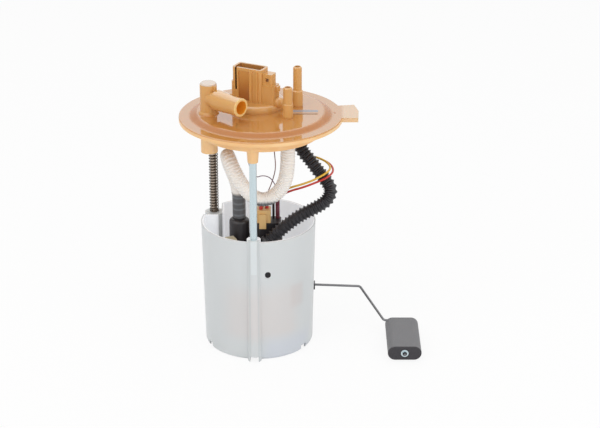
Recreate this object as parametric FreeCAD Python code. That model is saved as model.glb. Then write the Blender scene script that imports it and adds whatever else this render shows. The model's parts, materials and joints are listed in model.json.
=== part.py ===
import FreeCAD, Part
import math
import os

os.makedirs("parts", exist_ok=True)

V = FreeCAD.Vector
UP = V(0, 0, 1)

# Clearances
run_gap = 0.06          # radial running clearance of a guide, shaft or pivot
loose_gap = 0.3         # gap beside a soft or moving piece
slip_gap = 0.15         # radial clearance of a piece that slips into another
touch_gap = 0.05        # beside a piece that rests against another

# Reservoir cup, axis at the origin, feet on z = 0
cup_base_r = 44.1
cup_rim_r = 46.4
cup_height = 105.0
cup_wall = 1.8
cup_floor_z = 6.0
cup_floor = 2.0
cup_edge_r = 2.5
foot_notch_wide = 7.0
foot_notch_high = 4.5
foot_notches = 6
foot_ring_r = 26.0
weep_wide = 4.6
weep_high = 6.0
weep_x = 8.2
weep_z = 76.0

# Guide rods
front_rod_r = 2.9
side_rod_r = 2.5
front_rod_x = -2.8
front_rod_y = -43.5
front_rod_end = 78.5
side_rod_x = -36.5
side_rod_y = 17.5
side_rod_end = 60.0
channel_wall = 2.0
channel_bore_r = 3.5
channel_collar = 10.0
channel_stands = 2.0
tower_wall = 5.0
tower_bottom = 72.0
clip_r = 4.8
clip_thick = 1.5
clip_groove = 0.6

# Pressure spring round the side rod
spring_r = 3.85
spring_wire = 1.0
spring_pitch = 2.35

# Flange plate and its plug skirt
plate_x = 2.7
plate_r = 65.0
plate_top = 196.3
plate_thick = 3.6
plate_edge_r = 0.8
plateau_r = 50.0
plateau_rise = 3.0
slope_wide = 7.0
skirt_r = 49.0
skirt_wall = 2.6
skirt_end = 182.5
tab_reach = 12.8
tab_front = -9.5
tab_back = 21.5
tab_chamfer_x = 3.2
tab_chamfer_y = 15.0
dimple_r = 0.9
dimple_deep = 1.2
dimple_x = 58.6
dimple_y = 2.3

# Label strip, left bare
label_long = 20.5
label_wide = 9.0
label_thick = 0.3
label_x = 37.8
label_y = -4.2

# Spout column and its angled spout
column_x = -38.2
column_y = -6.4
column_r = 6.7
column_top = 223.6
column_cap_r = 6.3
column_cap = 1.4
column_end = 167.0
column_bore_r = 4.4
spout_z = 212.6
spout_turn = -42.8
spout_long = 36.2
spout_neck_r = 6.5
spout_barb_r = 8.2
spout_mouth_r = 7.4
spout_land = 9.0
spout_bore_r = 5.2

# Two upright nipples, each over a hose barb
tall_x = 31.8
tall_y = 10.4
tall_top = 232.4
tall_r = 3.5
tall_base_r = 4.3
tall_base_top = 213.0
short_x = 24.3
short_y = -16.5
short_top = 224.4
short_r = 3.65
short_base_r = 4.1
short_base_top = 211.0
nipple_bore_r = 2.2
hose_barb_r = 4.0
hose_barb_end = 170.0

# Socket hub, shroud and terminals
hub_x = -1.0
hub_y = 12.0
hub_r = 23.0
hub_rise = 6.0
hub_edge_r = 3.5
shroud_turn = -27.0
shroud_x = -5.5
shroud_y = 10.8
shroud_long = 26.0
shroud_deep = 13.0
shroud_wall = 1.8
shroud_rise = 27.0
shroud_cavity = 19.0
shroud_corner_r = 2.0
slit_wide = 1.5
panel_deep = 0.7
block_long = 10.5
block_rise = 24.0
terminal_wide = 2.8
terminal_thick = 0.8
terminal_rise = 12.0
terminal_count = 4
well_deep = 7.2
well_long = 27.0
well_wide = 10.0

# Rod bosses under the plate
front_boss_r = 4.9
front_boss_end_r = 4.1
front_boss_end = 172.5
side_boss_r = 5.6
side_boss_end = 183.5
rod_seat = 12.0

# Pump holder and its cover
holder_x = -2.0
holder_r = 21.75
holder_wall = 1.5
holder_bottom = 16.0
holder_lip = 2.0
holder_lip_r = 13.5
holder_top = 81.0
holder_cover = 3.0
holder_leg_wide = 6.0
holder_slot_wide = 7.0
cap_x = -15.6
cap_y = 4.0
cap_r = 8.2
cap_top = 105.0
cap_edge_r = 3.0
cap_bore_r = 5.0
outlet_barb_r = 4.0
outlet_barb_top = 126.0
outlet_bore_r = 2.4
stand_x0 = -1.0
stand_x1 = 18.5
stand_y0 = -5.0
stand_y1 = 9.5
stand_top = 104.0
bumper_angles = (205, 60)
bumper_wide = 9.0
bumper_thick = 4.15
bumper_reach = 9.0
bumper_hook = 3.0

# Pump
pump_r = 19.0
pump_wall = 1.4
pump_bottom = 24.0
pump_top = 74.0
inlet_port_r = 6.0
inlet_port_end = 10.5
shaft_r = 2.0
core_r = 13.4
core_bottom = 39.0
core_top = 63.0
core_slots = 8
commutator_r = 5.2
commutator_long = 7.0
magnet_thick = 3.4
magnet_angle = 140.0
impeller_r = 15.0
impeller_thick = 3.2
impeller_blades = 12
brush_wide = 3.6
brush_high = 5.0
brush_long = 5.5

# Outlet check valve
poppet_r = 3.6
poppet_stem_r = 1.6

# Strainer, foot valve and jet pump
strainer_r = 15.0
strainer_high = 7.5
foot_valve_x = 14.0
foot_valve_y = -28.0
foot_valve_r = 6.5
foot_hole_r = 2.4
jet_x = 24.5
jet_y = 9.0
jet_tube_r = 3.0
jet_body_r = 4.2

# Pump connector
plug_x = 4.2
plug_y = 0.0
plug_wide = 12.0
plug_deep = 9.5
plug_high = 11.0
plug_tongue = 4.6

# Level sender
pad_y = 30.0
pad_x0 = 10.0
pad_margin = 3.0
pivot_x = 31.5
pivot_z = 28.0
sender_x0 = 13.0
sender_x1 = 36.0
sender_z0 = 17.0
sender_z1 = 62.0
sender_deep = 5.0
card_thick = 0.8
hub_disc_r = 5.5
hub_disc_deep = 4.0
hub_grip_low = 2.6
pin_r = 1.6
arm_r = 1.0
arm_y = 40.6
arm_knee_x = 84.6
arm_knee_z = 26.0
arm_low_x = 104.0
arm_low_y = 12.5

# Float
float_x = 118.6
float_z = 7.3
float_front = -47.0
float_long = 54.0
float_wide = 27.4
float_thick = 12.1
nut_r = 3.1
nut_thick = 0.8

# Hoses and wires
hose_r = 5.9
lead_r = 0.85
fine_lead_r = 0.4
sleeve_r = 1.7
sleeve_x = 15.6
sleeve_y = 6.4
sleeve_long = 17.6

# Heights and places that follow from the sizes above
plate_under = plate_top - plate_thick
plateau_top = plate_top + plateau_rise
plateau_under = plateau_top - plate_thick
hub_top = plateau_top + hub_rise
shroud_top = hub_top + shroud_rise
cup_floor_top = cup_floor_z + cup_floor
cover_top = holder_top + holder_cover
channel_r = channel_bore_r + channel_wall
channel_top = cup_height + channel_stands
front_guide_r = front_rod_r + run_gap
side_guide_r = side_rod_r + run_gap
tower_r = side_rod_r + tower_wall
recess_r = tower_r - cup_wall
arm_y_end = float_front - 2.0
well_bottom = plateau_under - well_deep
lead_top = well_bottom - 0.05
plug_top = stand_top + plug_high
sleeve_top = stand_top + sleeve_long
recess_far = 2 * cup_rim_r


def cyl(r, z0, z1, x=0.0, y=0.0):
    return Part.makeCylinder(r, z1 - z0, V(x, y, z0))


def rod_between(r, a, b):
    return Part.makeCylinder(r, (b - a).Length, a, b - a)


def box(x0, x1, y0, y1, z0, z1):
    return Part.makeBox(x1 - x0, y1 - y0, z1 - z0, V(x0, y0, z0))


def ring(r_out, r_in, z0, z1, x=0.0, y=0.0):
    return cyl(r_out, z0, z1, x, y).cut(cyl(r_in, z0, z1, x, y))


def turned(outline, x=0.0, y=0.0):
    """A solid turned about a vertical axis from (radius, height) points."""
    points = [V(r, 0, z) for r, z in outline]
    face = Part.Face(Part.makePolygon(points + points[:1]))
    solid = face.revolve(V(0, 0, 0), UP, 360)
    solid.translate(V(x, y, 0))
    return solid


def slab(points, z0, z1):
    """A flat outline raised from z0 to z1."""
    corners = [V(x, y, z0) for x, y in points]
    face = Part.Face(Part.makePolygon(corners + corners[:1]))
    return face.extrude(V(0, 0, z1 - z0))


def fused(first, *rest):
    return first.multiFuse(list(rest)).removeSplitter()


def fillet_edges(solid, radius, chosen):
    edges = [edge for edge in solid.Edges if chosen(edge)]
    return solid.makeFillet(radius, edges)


def upright(edge):
    ends = [vertex.Point for vertex in edge.Vertexes]
    return len(ends) == 2 and abs(ends[0].x - ends[1].x) < 0.001 and abs(ends[0].y - ends[1].y) < 0.001


def route_wire(points):
    """Straight runs joined by tangent arcs, each as large as its two runs allow."""
    stops = [V(*point) for point in points]
    edges = []
    radii = []
    last = stops[0]
    for before, corner, after in zip(stops, stops[1:], stops[2:]):
        run_in = corner - before
        run_out = after - corner
        turn = run_in.getAngle(run_out)
        reach = 0.45 * min(run_in.Length, run_out.Length)
        towards = V(run_in).normalize()
        away = V(run_out).normalize()
        start = corner - towards * reach
        finish = corner + away * reach
        inward = (away - towards).normalize()
        radius = reach / math.tan(turn / 2)
        centre_far = radius / math.cos(turn / 2)
        middle = corner + inward * (centre_far - radius)
        edges.append(Part.LineSegment(last, start).toShape())
        edges.append(Part.Arc(start, middle, finish).toShape())
        radii.append(radius)
        last = finish
    edges.append(Part.LineSegment(last, stops[-1]).toShape())
    return Part.Wire(edges), radii


def tube(name, radius, points):
    """A solid tube along a route, with its bend radii and its volume against section times length."""
    wire, radii = route_wire(points)
    start = V(*points[0])
    towards = V(*points[1]) - start
    section = Part.Wire(Part.Circle(start, towards, radius).toShape())
    solid = wire.makePipeShell([section], True, False)
    expected = math.pi * radius ** 2 * wire.Length
    print(name, "length", round(wire.Length, 1), "radii", [round(r, 1) for r in radii],
          "volume over section times length", round(solid.Volume / expected, 4))
    return solid


# Routes, from the reservoir up to the flange
WHITE_HOSE = [
    (cap_x, cap_y, 106.0), (cap_x, cap_y, 121.0), (-16.2, 5.6, 131.0), (-19.6, 8.6, 141.0),
    (-23.6, 9.0, 151.0), (-24.6, 3.6, 160.5), (-22.8, -6.0, 160.5), (-17.6, -12.4, 150.5),
    (-11.7, -13.6, 139.5), (-4.0, -12.6, 130.0), (6.0, -11.0, 126.6), (16.4, -11.4, 133.0),
    (22.6, -13.6, 145.0), (short_x, short_y, 162.0), (short_x, short_y, 184.0),
]
BLACK_HOSE = [
    (8.6, -15.3, 92.6), (16.1, -13.0, 99.8), (25.7, -11.0, 107.4), (36.2, -9.0, 114.2), (46.6, -7.2, 118.6),
    (56.0, -5.0, 124.0), (59.2, -2.0, 132.6), (54.0, 1.0, 140.0), (47.6, 4.0, 147.2), (41.8, 7.0, 154.6),
    (35.6, 9.4, 161.0), (tall_x, tall_y, 171.0), (tall_x, tall_y, 184.0),
]
YELLOW_LEAD = [
    (7.0, 1.0, plug_top), (7.0, 1.0, 119.6), (15.6, 4.2, 127.2), (25.8, -1.4, 133.8), (36.2, -6.0, 138.6),
    (45.8, -7.6, 143.2), (53.8, -6.2, 147.4), (58.8, 2.4, 148.6), (56.8, 13.0, 149.2), (50.0, 18.0, 151.6),
    (41.4, 18.6, 153.6), (31.0, 16.6, 158.0), (22.5, 14.0, 167.0), (12.0, 10.5, 175.0), (2.5, 6.7, 179.5),
    (2.5, 6.7, lead_top),
]
RED_LEAD = [
    (2.2, -1.6, plug_top), (2.2, -1.6, 119.0), (13.6, 1.0, 123.8), (25.6, -3.2, 131.6), (36.4, -7.6, 136.4),
    (46.0, -9.6, 141.2), (55.0, -9.2, 145.0), (61.2, 1.8, 146.4), (59.0, 14.0, 147.8), (50.6, 20.2, 150.4),
    (41.0, 20.8, 153.0), (30.0, 18.6, 159.6), (20.5, 16.5, 169.5), (9.0, 12.8, 177.5), (-1.0, 8.5, 181.0),
    (-1.0, 8.5, lead_top),
]
BROWN_LEAD = [
    (2.6, 3.0, plug_top), (2.6, 3.0, 120.0), (8.2, 5.0, 128.0), (11.6, 5.0, 137.0), (14.4, 5.0, 148.0),
    (13.4, 5.4, 160.0), (12.6, 4.6, 170.0), (8.6, 3.6, 177.5), (3.8, 2.7, 180.6), (3.8, 2.7, lead_top),
]
VIOLET_LEAD = [
    (sleeve_x, sleeve_y, sleeve_top), (sleeve_x, sleeve_y, 127.0), (13.4, 2.6, 135.6), (9.4, 2.0, 141.6),
    (3.2, 2.0, 143.0), (-1.6, 1.6, 141.0), (-6.0, 0.8, 148.0), (-8.2, 0.0, 159.0), (-8.8, 1.8, 169.0),
    (-11.0, 7.0, 177.5), (-12.2, 10.8, 181.0), (-12.2, 10.8, lead_top),
]


def cup_solid(base_r, rim_r, z0, z1):
    draft = (cup_rim_r - cup_base_r) / cup_height
    return turned([(0, z0), (base_r + draft * z0, z0), (base_r + draft * z1, z1), (0, z1)])


def guide_recess(radius):
    """The corner of the cup that is set back so that the side rod runs outside it."""
    post = cyl(radius, -1, cup_height + 1, side_rod_x, side_rod_y)
    left = box(-recess_far, side_rod_x, side_rod_y - radius, recess_far, -1, cup_height + 1)
    back = box(-recess_far, side_rod_x + radius, side_rod_y, recess_far, -1, cup_height + 1)
    return fused(post, left, back)


def sender_recess(inset):
    """A flat pad let into the back of the cup for the level sender."""
    return box(pad_x0 - inset, recess_far, pad_y - inset, recess_far,
               sender_z0 - pad_margin - inset, sender_z1 + pad_margin + inset)


def make_reservoir():
    outer = cup_solid(cup_base_r, cup_rim_r, 0, cup_height)
    outer = fillet_edges(outer, cup_edge_r, lambda edge: edge.BoundBox.ZMax < 0.01 and edge.Closed)
    outer = outer.cut(guide_recess(recess_r)).cut(sender_recess(0))
    inner = cup_solid(cup_base_r - cup_wall, cup_rim_r - cup_wall, cup_floor_top, cup_height + 1)
    inner = inner.cut(guide_recess(tower_r)).cut(sender_recess(cup_wall))
    under = cup_solid(cup_base_r - cup_wall, cup_rim_r - cup_wall, -1, cup_floor_z)
    under = under.cut(guide_recess(tower_r)).cut(sender_recess(cup_wall))
    cup = outer.cut(inner).cut(under)
    channel = cyl(channel_r, 0, channel_top, front_rod_x, front_rod_y)
    tower = cyl(tower_r, tower_bottom, cup_height, side_rod_x, side_rod_y)
    foot_ring = ring(foot_ring_r, foot_ring_r - cup_wall, 0, cup_floor_z + 0.5)
    cup = fused(cup, channel, tower, foot_ring)
    cup = cup.cut(cyl(channel_bore_r, -1, channel_top - channel_collar, front_rod_x, front_rod_y))
    cup = cup.cut(cyl(front_guide_r, 0, channel_top + 1, front_rod_x, front_rod_y))
    cup = cup.cut(cyl(side_guide_r, 0, cup_height + 1, side_rod_x, side_rod_y))
    for i in range(foot_notches):
        notch = box(cup_base_r - 12, recess_far, -foot_notch_wide / 2, foot_notch_wide / 2, -1, foot_notch_high)
        notch.rotate(V(0, 0, 0), UP, math.degrees(math.atan2(front_rod_y, front_rod_x)) + i * 360 / foot_notches)
        cup = cup.cut(notch)
    weep = box(weep_x - weep_wide / 2, weep_x + weep_wide / 2, -cup_rim_r - 1, 0,
               weep_z - weep_high / 2, weep_z + weep_high / 2)
    weep = weep.makeFillet(weep_wide / 2.2, [e for e in weep.Edges if e.BoundBox.YLength > cup_rim_r])
    cup = cup.cut(weep)
    return cup.cut(cyl(foot_hole_r, 0, cup_floor_top + 1, foot_valve_x, foot_valve_y))


def make_front_guide_rod():
    top = front_boss_end + rod_seat
    rod = cyl(front_rod_r, front_rod_end, top, front_rod_x, front_rod_y)
    return rod.makeChamfer(front_rod_r / 5, [e for e in rod.Edges if e.Closed])


def make_side_guide_rod():
    top = side_boss_end + rod_seat / 2
    rod = cyl(side_rod_r, side_rod_end, top, side_rod_x, side_rod_y)
    rod = rod.makeChamfer(side_rod_r / 5, [e for e in rod.Edges if e.Closed])
    z1 = tower_bottom - loose_gap
    return rod.cut(ring(side_rod_r + 1, side_rod_r - clip_groove, z1 - clip_thick, z1, side_rod_x, side_rod_y))


def make_rod_clip():
    """A spring clip in the rod's groove, the stop that keeps the flange on the reservoir."""
    z1 = tower_bottom - loose_gap
    clip = ring(clip_r, side_rod_r - clip_groove, z1 - clip_thick, z1, side_rod_x, side_rod_y)
    half_mouth = side_rod_r * 0.7
    mouth = box(side_rod_x - half_mouth, side_rod_x + half_mouth, side_rod_y, side_rod_y + clip_r + 1,
                z1 - clip_thick, z1)
    return clip.cut(mouth)


def make_spring():
    """A helix round the side rod, from the tower's top to the side boss."""
    z0 = cup_height + spring_wire / 2 + 0.05
    z1 = side_boss_end - spring_wire / 2 - 0.05
    coil_r = spring_r - spring_wire / 2
    helix = Part.makeHelix(spring_pitch, z1 - z0, coil_r)
    half = spring_wire / 2
    corners = [V(coil_r - half, 0, 0), V(coil_r, 0, -half), V(coil_r + half, 0, 0), V(coil_r, 0, half)]
    section = Part.makePolygon(corners + corners[:1])
    coil = Part.Wire(helix).makePipeShell([section], True, True)
    coil.translate(V(side_rod_x, side_rod_y, z0))
    return coil


def plate_outline():
    """Half section of the plate, its raised middle, rim and plug skirt, as edges."""
    slope_r = plateau_r + slope_wide
    mid = V((plateau_r + slope_r) / 2, 0, (plate_top + plateau_top) / 2)
    sag = plateau_rise * 0.18
    path = [
        Part.LineSegment(V(0, 0, plateau_top), V(plateau_r, 0, plateau_top)),
        Part.Arc(V(plateau_r, 0, plateau_top), V((plateau_r + mid.x) / 2, 0, plateau_top - sag), mid),
        Part.Arc(mid, V((slope_r + mid.x) / 2, 0, plate_top + sag), V(slope_r, 0, plate_top)),
        Part.LineSegment(V(slope_r, 0, plate_top), V(plate_r - plate_edge_r, 0, plate_top)),
        Part.Arc(V(plate_r - plate_edge_r, 0, plate_top),
                 V(plate_r - plate_edge_r * 0.3, 0, plate_top - plate_edge_r * 0.3),
                 V(plate_r, 0, plate_top - plate_edge_r)),
    ]
    corners = [
        (plate_r, plate_top - plate_edge_r), (plate_r, plate_under), (skirt_r, plate_under),
        (skirt_r - 0.6, skirt_end), (skirt_r - skirt_wall, skirt_end),
        (skirt_r - skirt_wall, plateau_under), (0, plateau_under), (0, plateau_top),
    ]
    for (r0, z0), (r1, z1) in zip(corners, corners[1:]):
        path.append(Part.LineSegment(V(r0, 0, z0), V(r1, 0, z1)))
    return Part.Wire([line.toShape() for line in path])


def flange_tab():
    reach = plate_x + plate_r + tab_reach
    return slab([
        (plate_x, tab_front), (reach - 0.8, tab_front), (reach, tab_back - tab_chamfer_y),
        (reach - tab_chamfer_x, tab_back), (plate_x + plate_r * 0.9, tab_back - 2.6), (plate_x, tab_back - 2.6),
    ], plate_under, plate_top)


def spout_line(along):
    """A point on the spout's axis, that far from the column's axis."""
    turn = math.radians(spout_turn)
    return V(column_x + along * math.cos(turn), column_y + along * math.sin(turn), spout_z)


def along_spout(solid):
    """Lays a solid turned about Z at the origin along the spout, its top at the mouth."""
    solid.rotate(V(0, 0, 0), V(0, 1, 0), 90)
    solid.rotate(V(0, 0, 0), UP, spout_turn)
    solid.translate(spout_line(0))
    return solid


def make_column():
    shoulder = column_r + 2.4
    column = cyl(column_r, column_end, column_top, column_x, column_y)
    cap = turned([(0, column_top), (column_cap_r, column_top), (column_cap_r, column_top + column_cap * 0.6),
                  (column_cap_r - 0.7, column_top + column_cap), (0, column_top + column_cap)], column_x, column_y)
    foot = turned([(0, plateau_top - 1), (column_r + 1.6, plateau_top - 1), (column_r + 1.6, plateau_top),
                   (column_r, plateau_top + 2.2), (0, plateau_top + 2.2)], column_x, column_y)
    lug = box(column_r - 1.0, column_r + 1.6, -1.3, 1.3, column_top - 4.2, column_top)
    lug.rotate(V(0, 0, 0), UP, spout_turn)
    lug.translate(V(column_x, column_y, 0))
    spout = along_spout(turned([
        (0, 0), (spout_neck_r, 0), (spout_neck_r, shoulder), (spout_barb_r, shoulder + 0.6),
        (spout_barb_r, shoulder + 3.4), (spout_mouth_r, spout_long - spout_land), (spout_mouth_r, spout_long - 0.5),
        (spout_mouth_r - 0.5, spout_long), (0, spout_long)]))
    return [column, cap, foot, lug, spout]


def column_bores():
    upright_bore = cyl(column_bore_r, column_end - 1, spout_z, column_x, column_y)
    return [upright_bore, along_spout(cyl(spout_bore_r, 0, spout_long + 1))]


def nipple(x, y, top, r, base_r, base_top):
    """An upright nipple above the plate, in one line with the barb that its hose is pushed on."""
    step = base_r - r
    above = turned([(0, plateau_under), (base_r, plateau_under), (base_r, base_top - step), (r, base_top),
                    (r, top - 0.9), (r - 0.9, top), (0, top)], x, y)
    barb_tip = hose_barb_end
    teeth = [(0, barb_tip), (hose_barb_r - 0.9, barb_tip)]
    for i in range(3):
        z = barb_tip + 3.4 * i
        teeth += [(hose_barb_r, z + 2.6), (hose_barb_r - 0.5, z + 3.4)]
    teeth += [(hose_barb_r - 0.5, plateau_under + 0.5), (0, plateau_under + 0.5)]
    return above, turned(teeth, x, y)


def in_shroud_frame(solid):
    """Moves a solid from the socket's own frame, u along it and v across it, to its place."""
    solid.rotate(V(0, 0, 0), UP, shroud_turn)
    solid.translate(V(shroud_x, shroud_y, 0))
    return solid


def make_shroud():
    u = shroud_long / 2
    v = shroud_deep / 2
    z0 = hub_top - 1
    shell = box(-u, u, -v, v, z0, shroud_top)
    shell = fillet_edges(shell, shroud_corner_r, upright)
    foot = box(-u - 1.2, u, -v, v + 1.0, z0, shroud_top - 12)
    foot = fillet_edges(foot, shroud_corner_r, upright)
    ribs = []
    for at, wide in ((u * 0.30, 2.2), (u * 0.72, 1.4)):
        rib = slab([(at - wide / 2, -v - 1.0), (at + wide / 2, -v - 1.0), (at + wide / 2, -v + 1), (at - wide / 2, -v + 1)],
                   z0, shroud_top - 1.5)
        ribs.append(rib)
    latch = box(u - 1, u + block_long, -v * 0.8, v * 0.8, z0, hub_top + block_rise * 0.62)
    latch = fillet_edges(latch, 1.5, upright)
    latch_top = box(u - 1, u + block_long * 0.78, -v * 0.62, v * 0.62, z0, hub_top + block_rise)
    latch_top = fillet_edges(latch_top, 1.5, upright)
    hook = box(u + block_long - 1, u + block_long + 2.0, -2.2, 2.2, hub_top + block_rise * 0.42, hub_top + block_rise * 0.6)
    lump = Part.makeSphere(4.6, V(u + block_long + 1.5, 0, hub_top + 1.0))
    solids = [shell, foot, latch, latch_top, hook, lump] + ribs
    return [in_shroud_frame(solid) for solid in solids]


def shroud_cuts():
    u = shroud_long / 2
    v = shroud_deep / 2
    floor = shroud_top - shroud_cavity
    cavity = box(-u + shroud_wall, u - shroud_wall, -v + shroud_wall, v - shroud_wall, floor, shroud_top + 1)
    cavity = fillet_edges(cavity, 1.0, upright)
    slit = box(-u + shroud_wall + 1.0, -u + shroud_wall + 1.0 + slit_wide, -v - 1, 0, floor + 0.5, shroud_top + 1)
    panel = box(-u + 5.6, u * 0.30 - 1.1, -v - 1, -v + panel_deep, hub_top + 0.5, shroud_top - 2.6)
    notch = box(u + 2.6, u + 5.4, -v, v, hub_top + block_rise * 0.74, hub_top + block_rise * 0.86)
    return [in_shroud_frame(solid) for solid in (cavity, slit, panel, notch)]


def make_flange():
    wire = plate_outline()
    plate = Part.Face(wire).revolve(V(0, 0, 0), UP, 360)
    plate.translate(V(plate_x, 0, 0))
    hub = cyl(hub_r, plateau_top - 1, hub_top, hub_x, hub_y)
    hub = fillet_edges(hub, hub_edge_r, lambda e: e.Closed and e.BoundBox.ZMin > hub_top - 0.01)
    tall = nipple(tall_x, tall_y, tall_top, tall_r, tall_base_r, tall_base_top)
    short = nipple(short_x, short_y, short_top, short_r, short_base_r, short_base_top)
    front_boss = turned([(0, front_boss_end), (front_boss_end_r, front_boss_end), (front_boss_r, skirt_end),
                         (front_boss_r, plateau_under + 1), (0, plateau_under + 1)], front_rod_x, front_rod_y)
    side_boss = cyl(side_boss_r, side_boss_end, plateau_under + 1, side_rod_x, side_rod_y)
    well = in_shroud_frame(box(-well_long / 2, well_long / 2, -well_wide / 2, well_wide / 2,
                               well_bottom, plateau_under + 1))
    body = fused(plate, flange_tab(), hub, *make_column(), *tall, *short, front_boss, side_boss, well,
                 *make_shroud())
    cuts = column_bores() + shroud_cuts()
    for x, y, top in ((tall_x, tall_y, tall_top), (short_x, short_y, short_top)):
        cuts.append(cyl(nipple_bore_r, hose_barb_end - 1, top + 1, x, y))
    cuts.append(cyl(front_rod_r, front_boss_end - 1, front_boss_end + rod_seat, front_rod_x, front_rod_y))
    cuts.append(cyl(side_rod_r, side_boss_end - 1, side_boss_end + rod_seat / 2, side_rod_x, side_rod_y))
    cuts.append(cyl(dimple_r, plate_top - dimple_deep, plate_top + 1, plate_x + dimple_x, dimple_y))
    for cut in cuts:
        body = body.cut(cut)
    return body


def make_terminals():
    """Blades that stand on the socket's floor, with tails down to the leads under the plate."""
    floor = shroud_top - shroud_cavity
    pitch = (shroud_long - 2 * shroud_wall) / terminal_count
    blades = []
    for i in range(terminal_count):
        u = (i - (terminal_count - 1) / 2) * pitch
        blade = box(u - terminal_wide / 2, u + terminal_wide / 2, -terminal_thick / 2, terminal_thick / 2,
                    floor, floor + terminal_rise)
        blade = blade.makeChamfer(0.3, [e for e in blade.Edges if e.BoundBox.ZMin > floor + terminal_rise - 0.01])
        blades.append(in_shroud_frame(blade))
    return Part.makeCompound(blades)


def make_label():
    strip = box(label_x - label_long / 2, label_x + label_long / 2, label_y - label_wide / 2, label_y + label_wide / 2,
                plateau_top, plateau_top + label_thick)
    return fillet_edges(strip, 1.0, upright)


def make_holder():
    """The cup round the pump, on three legs, with slots between its ribs."""
    inner_r = holder_r - holder_wall
    wall = ring(holder_r, inner_r, holder_bottom, holder_top, holder_x)
    lip = ring(inner_r + 0.1, holder_lip_r, holder_bottom, holder_bottom + holder_lip, holder_x)
    body = fused(wall, lip)
    for angle in (90, 210, 330):
        leg = box(inner_r - 3, holder_r, -holder_leg_wide / 2, holder_leg_wide / 2, cup_floor_top, holder_bottom + 1)
        leg.rotate(V(0, 0, 0), UP, angle)
        leg.translate(V(holder_x, 0, 0))
        body = fused(body, leg)
    for angle in (30, 150, 270):
        slot = box(inner_r - 2, holder_r + 2, -holder_slot_wide / 2, holder_slot_wide / 2,
                   holder_bottom + 10, holder_top - 14)
        slot = slot.makeFillet(holder_slot_wide / 2.1, [e for e in slot.Edges if e.BoundBox.XLength > 4])
        slot.rotate(V(0, 0, 0), UP, angle)
        slot.translate(V(holder_x, 0, 0))
        body = body.cut(slot)
    return body


def return_axis():
    """Start and direction of the return hose at the holder."""
    start = V(*BLACK_HOSE[0])
    return start, (start - V(*BLACK_HOSE[1])).normalize()


def make_holder_cover():
    disc = cyl(holder_r, holder_top, cover_top, holder_x)
    disc = fillet_edges(disc, 1.2, lambda e: e.Closed and e.BoundBox.ZMin > cover_top - 0.01)
    cap = cyl(cap_r, holder_top, cap_top, cap_x, cap_y)
    cap = fillet_edges(cap, cap_edge_r, lambda e: e.Closed and e.BoundBox.ZMin > cap_top - 0.01)
    barb = [(0, cap_top - 1), (outlet_barb_r + 1.4, cap_top - 1), (outlet_barb_r + 1.4, cap_top + 0.6),
            (outlet_barb_r - 0.4, cap_top + 0.6)]
    teeth = 4
    step = (outlet_barb_top - cap_top - 2) / teeth
    for i in range(teeth):
        z = cap_top + 2 + step * i
        barb += [(outlet_barb_r, z), (outlet_barb_r - 0.5, z + step * 0.9)]
    barb += [(outlet_barb_r - 1.0, outlet_barb_top), (0, outlet_barb_top)]
    stand = box(stand_x0, stand_x1, stand_y0, stand_y1, holder_top, stand_top)
    stand = fillet_edges(stand, 2.5, upright)
    step_block = box(stand_x1 - 1, stand_x1 + 0.9, stand_y0 + 3, stand_y1 - 3, holder_top, stand_top - 9)
    post = cyl(1.0, stand_top - 1, stand_top + 13.5, 12.2, 6.6)
    start, away = return_axis()
    elbow = rod_between(outlet_barb_r, start - away * 9, start + away * 8)
    knee = start + away * 8
    riser = cyl(5.4, holder_top, knee.z + 4.0, knee.x, knee.y)
    riser = fillet_edges(riser, 2.5, lambda e: e.Closed and e.BoundBox.ZMin > knee.z + 3.99)
    collar = rod_between(hose_r + 0.6, start + away * 0.05, start + away * 2.4)
    body = fused(disc, cap, turned(barb, cap_x, cap_y), stand, step_block, post, elbow, riser, collar)
    body = body.cut(cyl(cap_bore_r, holder_top - 1, cap_top - 3.2, cap_x, cap_y))
    body = body.cut(cyl(outlet_bore_r, cap_top - 4, outlet_barb_top + 1, cap_x, cap_y))
    return body


def make_rubber_bumpers():
    """Rubber blocks that hook over the edge of the holder's cover."""
    blocks = []
    for angle in bumper_angles:
        near = holder_r + touch_gap
        far = near + bumper_thick
        top = cover_top + bumper_reach
        half = bumper_wide / 2
        block = box(near, far, -half, half, holder_top - bumper_reach, top)
        hook = box(near - bumper_hook, far, -half, half, cover_top + touch_gap, top)
        block = fused(block, hook)
        block = fillet_edges(block, 1.3, lambda e: e.BoundBox.YLength < 0.01 and e.BoundBox.XLength > 4)
        block.rotate(V(0, 0, 0), UP, angle)
        block.translate(V(holder_x, 0, 0))
        blocks.append(block)
    return Part.makeCompound(blocks)


def make_pump_casing():
    return ring(pump_r, pump_r - pump_wall, pump_bottom, pump_top, holder_x)


def make_inlet_cover():
    """The pump's inlet end: chamber floor, bearing seat and the port that stands in the strainer."""
    plug_r = pump_r - pump_wall - 0.02
    seat = pump_bottom + 4
    body = turned([
        (0, holder_bottom + holder_lip), (pump_r, holder_bottom + holder_lip), (pump_r, pump_bottom),
        (plug_r, pump_bottom), (plug_r, seat), (0, seat)], holder_x)
    port = cyl(inlet_port_r, inlet_port_end, holder_bottom + holder_lip + 1, holder_x)
    body = fused(body, port)
    body = body.cut(cyl(inlet_port_r - 1.4, inlet_port_end - 1, pump_bottom - 2.5, holder_x))
    body = body.cut(cyl(shaft_r + run_gap, pump_bottom - 0.5, seat + 1, holder_x))
    chamber = box(holder_x + 8, holder_x + 13, -2.5, 2.5, pump_bottom - 4.5, seat + 1)
    return body.cut(chamber)


def make_chamber_ring():
    """The plate over the impeller, with its outlet window into the motor."""
    plug_r = pump_r - pump_wall - 0.02
    z0 = pump_bottom + 4
    z1 = z0 + impeller_thick + 2 * 0.25
    wall = ring(plug_r, impeller_r + 0.25, z0, z1, holder_x)
    top = ring(plug_r, shaft_r + run_gap, z1, z1 + 2.5, holder_x)
    window = box(holder_x - 13, holder_x - 8, -2.5, 2.5, z1 - 0.5, z1 + 3)
    return fused(wall, top).cut(window)


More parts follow.
